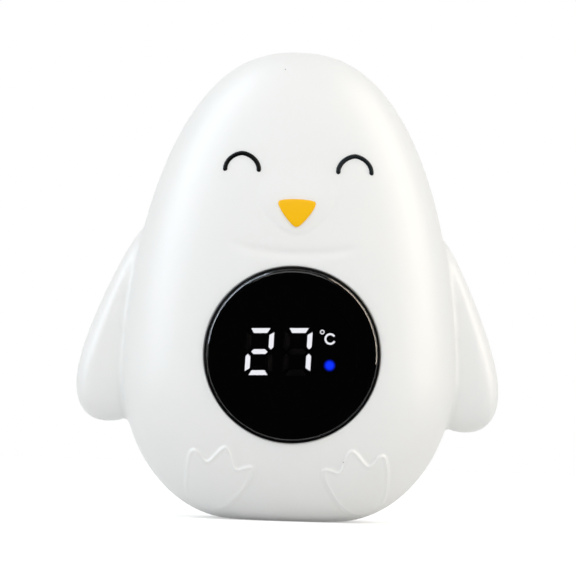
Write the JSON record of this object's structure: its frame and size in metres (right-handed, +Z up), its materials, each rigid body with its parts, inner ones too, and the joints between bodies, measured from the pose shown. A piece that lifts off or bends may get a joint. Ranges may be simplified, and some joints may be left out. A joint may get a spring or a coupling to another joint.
{
  "type": "baby bath thermometer",
  "caption": "Penguin-shaped floating bath thermometer: a soft silicone boot round a sealed core with a two-digit display.",
  "frame": {"origin": "middle of the flat base that the penguin stands on", "axes": "+Z up through the head, the display faces -Y, +X to the right in the picture"},
  "size_m": [0.0842, 0.0439, 0.0934],
  "materials": {
    "white_silicone": "satin moulded silicone",
    "black_silicone": "satin",
    "yellow_silicone": "satin",
    "smoked_acrylic": "polished",
    "black_plastic": "satin moulded",
    "white_plastic": "fine spark-eroded",
    "milky_epoxy": "cast",
    "foam_tape": "matt foam",
    "green_laminate": "solder mask",
    "grey_rubber": "moulded",
    "steel": "drawn and polished",
    "nickel": "nickel plated",
    "red_insulation": "smooth",
    "black_insulation": "smooth",
    "thermistor_glass": "glass bead"
  },
  "bodies": {
    "root": {"silicone_body": "white_silicone", "left_eye": "black_silicone", "right_eye": "black_silicone", "beak": "yellow_silicone", "display_lens": "smoked_acrylic", "lens_tape": "foam_tape", "front_housing": "black_plastic", "reflector_block": "black_plastic", "segment_epoxy": "milky_epoxy", "display_board": "green_laminate", "controller_chip": "black_plastic", "board_screw_top": "steel", "board_screw_bottom": "steel", "housing_gasket": "grey_rubber", "rear_housing": "white_plastic", "housing_screw_1": "steel", "housing_screw_2": "steel", "housing_screw_3": "steel", "housing_screw_4": "steel", "front_cell": "nickel", "rear_cell": "nickel", "negative_spring": "nickel", "positive_clip": "nickel", "door_gasket": "grey_rubber", "battery_door": "white_plastic", "door_screw": "steel", "probe_cap": "steel", "probe_seal": "grey_rubber", "thermistor": "thermistor_glass", "probe_lead_left": "black_insulation", "probe_lead_right": "black_insulation", "water_contact_left": "steel", "water_contact_right": "steel", "contact_wire_left": "black_insulation", "contact_wire_right": "black_insulation", "battery_wire_red": "red_insulation", "battery_wire_black": "black_insulation"}
  },
  "joints": []
}
